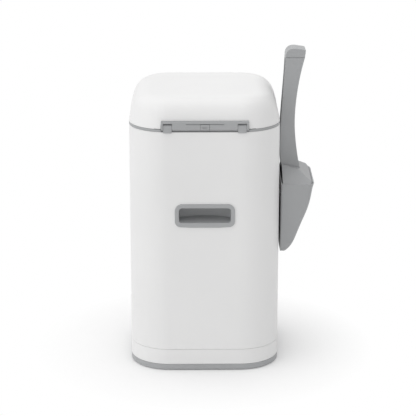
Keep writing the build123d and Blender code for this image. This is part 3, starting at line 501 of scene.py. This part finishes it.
def makeScrewTree(form):
    t = FormTree("crossHeadScrew", {
        "Head Radius": form["headRadius"], "Head Height": form["headHeight"],
        "Shank Radius": form["shankRadius"], "Shank Length": 0.01,
        "Recess": form["recess"], "Slot": form["slot"], "Turns": 6.0, "Flip": 0.0,
    })
    headRadius, headHeight = t.given("Head Radius"), t.given("Head Height")
    shankRadius, shankLength = t.given("Shank Radius"), t.given("Shank Length")
    dome = t.make("GeometryNodeMeshCone", {"fill_type": "NGON"}, {
        "Vertices": form["headSides"], "Radius Top": headRadius * form["domeTop"],
        "Radius Bottom": headRadius * form["headFit"], "Depth": headHeight * form["domeHeight"]})
    dome = t.raised(dome, headHeight * form["domeMiddle"])
    disc = t.cylinder(form["headSides"], headRadius * form["headFit"], headHeight * form["discHeight"])
    disc = t.raised(disc, headHeight * form["discMiddle"])
    head = t.make("GeometryNodeMeshBoolean", {"operation": "UNION"}, {1: disc})
    t.add(head, 1, dome)
    reach, depth = headRadius * form["slotReach"], t.given("Recess") * form["slotDepth"]
    for long, wide in ((reach, t.given("Slot")), (t.given("Slot"), reach)):
        size = t.make("ShaderNodeCombineXYZ", None, {0: long, 1: wide, 2: depth})
        cutter = t.raised(t.make("GeometryNodeMeshCube", None, {"Size": size}), headHeight)
        head = t.make("GeometryNodeMeshBoolean", {"operation": "DIFFERENCE"}, {0: head, 1: cutter})
    core = t.cylinder(form["coreSides"], shankRadius * form["core"], shankLength)
    core = t.raised(core, shankLength * -0.5)
    coil = shankRadius * form["threadRadius"]
    helix = t.make("GeometryNodeCurveSpiral", None, {
        "Resolution": form["threadSteps"], "Rotations": t.given("Turns"), "Start Radius": coil,
        "End Radius": coil, "Height": shankLength * form["threadLength"]})
    helix = t.raised(helix, shankLength * -form["threadLow"])
    thread = t.tube(helix, form["wireSides"], shankRadius * form["threadWire"])
    whole = t.make("GeometryNodeJoinGeometry", None, {0: head})
    t.add(whole, 0, core, thread)
    turn = t.make("ShaderNodeCombineXYZ", None, {0: t.given("Flip") * math.pi})
    t.close(whole, turn, finishOf["steel"])
    return t.tree


def placeScrews(name, up, form, tree):
    # one screw in each corner of the node's box
    low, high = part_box(name)
    inset, headHeight = form["headRadius"], form["headHeight"]
    seat = high.z - headHeight if up else low.z + headHeight
    shank = (high.z - low.z) - headHeight
    sides, ends = (low.x + inset, high.x - inset), (low.y + inset, high.y - inset)
    points = [(x, y, seat) for x in sides for y in ends]
    values = {
        "Shank Length": shank,
        "Turns": float(round(shank / form["pitch"])),
        "Flip": 0.0 if up else 1.0,
    }
    settle(runTree(name + "_set", points, tree, values), name)


screwTree = makeScrewTree(screwForm)
headUp = {"base_screws": False, "lid_screws": False, "clamp_screws": False, "head_screws": True}
for name, up in headUp.items():
    placeScrews(name, up, screwForm, screwTree)
print("sets of screws placed:", len(headUp))

springForm = {"wire": 0.00042, "turns": 24.0, "steps": 20, "clear": 0.00003, "wireSides": 10}


def makeSpringTree(form):
    t = FormTree("coilSpring", {"Radius": 0.003, "Wire": form["wire"], "Turns": form["turns"], "Length": 0.04})
    helix = t.make("GeometryNodeCurveSpiral", None, {
        "Resolution": form["steps"], "Rotations": t.given("Turns"), "Start Radius": t.given("Radius"),
        "End Radius": t.given("Radius"), "Height": t.given("Length")})
    coil = t.tube(helix, form["wireSides"], t.given("Wire"))
    smooth = t.make("GeometryNodeSetShadeSmooth", None, {"Geometry": coil})
    t.close(smooth, (-math.pi / 2, 0.0, 0.0), finishOf["steel"])
    return t.tree


def coilSprings(form):
    # both springs lie along Y, at the two ends of their node's box
    low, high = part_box("return_springs")
    radius, wire = (high.z - low.z) / 2, form["wire"]
    middle = (high.z + low.z) / 2
    points = [(x, low.y + wire, middle) for x in (low.x + radius, high.x - radius)]
    values = {"Radius": radius - wire - form["clear"], "Length": high.y - low.y - 2 * wire}
    settle(runTree("return_spring_coils", points, makeSpringTree(form), values), "return_springs")


coilSprings(springForm)
print("springs coiled")

sleeveForm = {
    "throat": 0.0497, "wall": 0.0004, "clear": 0.0001, "blend": 0.006, "pleats": 44, "deep": 0.0016,
    "drift": 1.4, "waves": 3, "twist": 30.0, "columns": 352, "rows": 24,
}


def pleatedSleeve(form):
    # the film's gathered tube, from the cassette's inner edge down through the throat
    low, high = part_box("film_sleeve")
    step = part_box("cassette_body")[0].z
    wide = (high.x - low.x) / 2
    rows, columns = form["rows"], form["columns"]
    heights = [low.z + (high.z - low.z) * row / rows for row in range(rows + 1)]
    loop = [(z, 0.0) for z in heights] + [(z, form["wall"]) for z in reversed(heights)]
    points = []
    for z, inset in loop:
        ease = min(1.0, max(0.0, (z - step) / form["blend"]))
        ease = ease * ease * (3 - 2 * ease)               # smooth at both ends
        radius = form["throat"] + (wide - form["throat"]) * ease - form["clear"] - inset
        for column in range(columns):
            angle = 2 * math.pi * column / columns
            sway = form["drift"] * math.sin(form["waves"] * angle + form["twist"] * z)
            fold = math.sin(form["pleats"] * angle + sway)
            reach = radius - form["deep"] * (0.5 - 0.5 * fold)
            points.append((reach * math.cos(angle), reach * math.sin(angle), z))
    faces = []
    for row in range(len(loop)):
        here, above = row * columns, (row + 1) % len(loop) * columns
        for column in range(columns):
            beside = (column + 1) % columns
            faces.append((here + column, here + beside, above + beside, above + column))
    mesh = bpy.data.meshes.new("filmSleeve")
    mesh.from_pydata(points, [], faces)
    mesh.shade_smooth()
    settle(linkedObject("film_sleeve_pleats", mesh), "film_sleeve")


pleatedSleeve(sleeveForm)
print("film sleeve pleated")

for name, node in nodes.items():
    if name not in dressed:
        node.data.materials.clear()
        node.data.materials.append(finishOf[slotOf[name]])
print("finishes given to the other nodes:", len(nodes) - len(dressed))

# the floor is paper under the pail and fades to plain white round it
floorLook = {"half": 9.0, "albedo": 0.90, "near": 0.10, "far": 0.27}


def addFloor(look, height):
    mesh = bpy.data.meshes.new("floor")
    half = look["half"]
    corners = [(-half, -half, height), (half, -half, height), (half, half, height), (-half, half, height)]
    mesh.from_pydata(corners, [], [(0, 1, 2, 3)])
    floor = linkedObject("floor", mesh)
    material, g, place = newMaterial("paleFloor")
    away = g.make("ShaderNodeVectorMath", {"operation": "LENGTH"}, {0: place}, out=1)
    fade = g.spread(away, look["near"], look["far"])
    seen = g.rays("Camera", "Glossy", "Transmission")
    paper = g.make("ShaderNodeBsdfDiffuse", None, {"Color": grey(look["albedo"])})
    glow = g.make("ShaderNodeEmission", None, {"Color": grey(1.0), "Strength": 1.0})
    closeMaterial(g, g.make("ShaderNodeMixShader", None, {0: fade * seen, 1: paper, 2: glow}))
    mesh.materials.append(material)


addFloor(floorLook, cadBounds[0][2])

worldLook = {"ambient": 0.76, "lean": 0.22, "backdrop": 1.0}


def addWorld(look):
    world = bpy.data.worlds.new("studio")
    scene.world = world
    world.use_nodes = True
    world.node_tree.nodes.clear()
    g = Graph(world.node_tree)
    seen = g.rays("Camera", "Transmission")
    way = g.make("ShaderNodeTexCoord")
    across = g.make("ShaderNodeSeparateXYZ", None, {0: way})
    soft = (across * look["lean"] + 1.0) * look["ambient"]  # a little more light from the +X side
    dim = g.make("ShaderNodeBackground", None, {"Color": grey(1.0), "Strength": soft})
    white = g.make("ShaderNodeBackground", None, {"Color": grey(1.0), "Strength": look["backdrop"]})
    mixed = g.make("ShaderNodeMixShader", None, {0: seen, 1: dim, 2: white})
    g.make("ShaderNodeOutputWorld", None, {"Surface": mixed})


addWorld(worldLook)

lamps = {
    "keyLight": {"at": (2.1, 1.1, 1.4), "aim": (0.0, 0.0, 0.25), "size": 2.4, "watts": 9.5},
    "topLight": {"at": (0.1, 0.2, 2.3), "aim": (0.0, 0.0, 0.3), "size": 1.8, "watts": 12.5},
    "backLight": {"at": (-0.6, -2.0, 1.6), "aim": (0.0, 0.0, 0.3), "size": 1.6, "watts": 2.5},
}


def addLamp(name, lamp):
    data = bpy.data.lights.new(name, "AREA")
    data.size = lamp["size"]
    data.energy = lamp["watts"]
    light = linkedObject(name, data)
    light.location = lamp["at"]
    light.rotation_euler = (Vector(lamp["aim"]) - Vector(lamp["at"])).to_track_quat("-Z", "Y").to_euler()


for name, lamp in lamps.items():
    addLamp(name, lamp)
scene.view_settings.view_transform = "Standard"
print("floor, world and lamps added")
